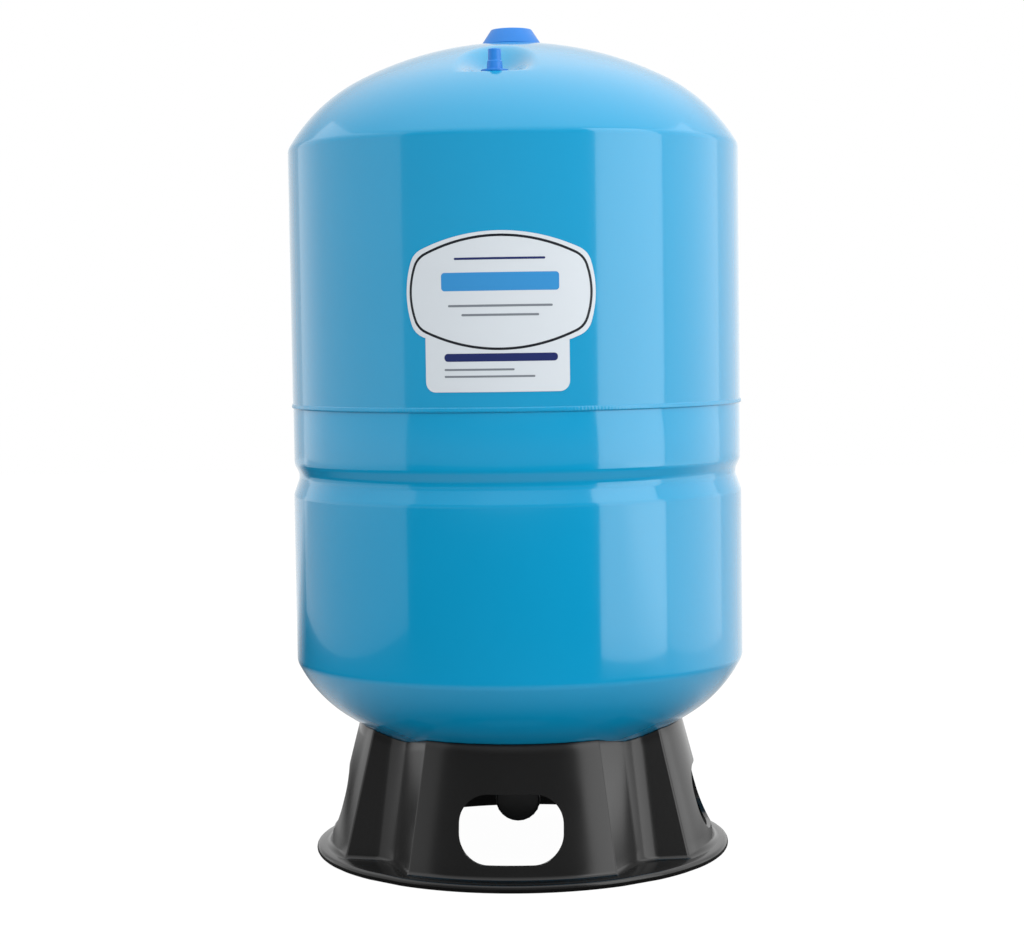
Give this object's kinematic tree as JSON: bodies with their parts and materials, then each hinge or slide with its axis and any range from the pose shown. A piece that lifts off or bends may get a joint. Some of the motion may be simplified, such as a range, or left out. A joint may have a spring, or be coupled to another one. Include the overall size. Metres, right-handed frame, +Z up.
{
  "type": "well pressure tank",
  "caption": "Upright blue steel diaphragm pressure tank for a water well, with domed ends, a rolled groove, a capped charging valve and a dark moulded base with openings.",
  "frame": {"origin": "on the floor at the centre of the base", "axes": "+Z up along the tank's axis, -Y towards the front with the label and the water connection"},
  "size_m": [0.4309, 0.4311, 0.788],
  "materials": {
    "tank_enamel": "gloss",
    "bare_steel": "satin",
    "brass": "satin",
    "rubber": "matte",
    "cap_plastic": "satin",
    "base_plastic": "satin",
    "label_film": "gloss"
  },
  "bodies": {
    "root": {"upper_shell": "tank_enamel", "lower_shell": "tank_enamel", "seam_weld": "tank_enamel", "top_weld": "tank_enamel", "top_boss": "bare_steel", "top_plug": "bare_steel", "valve_boss": "bare_steel", "clench_ring": "bare_steel", "port_coupling": "bare_steel", "coupling_weld": "bare_steel", "water_elbow": "bare_steel", "elbow_weld": "bare_steel", "base_studs": "bare_steel", "base_washers": "bare_steel", "base_nuts": "bare_steel", "air_valve": "brass", "valve_core": "brass", "core_pin": "brass", "diaphragm": "rubber", "port_gasket": "rubber", "plug_seal": "rubber", "top_cap": "cap_plastic", "air_valve_cap": "cap_plastic", "base": "base_plastic", "thread_cap": "base_plastic", "diffuser": "base_plastic", "label": "label_film"}
  },
  "joints": []
}
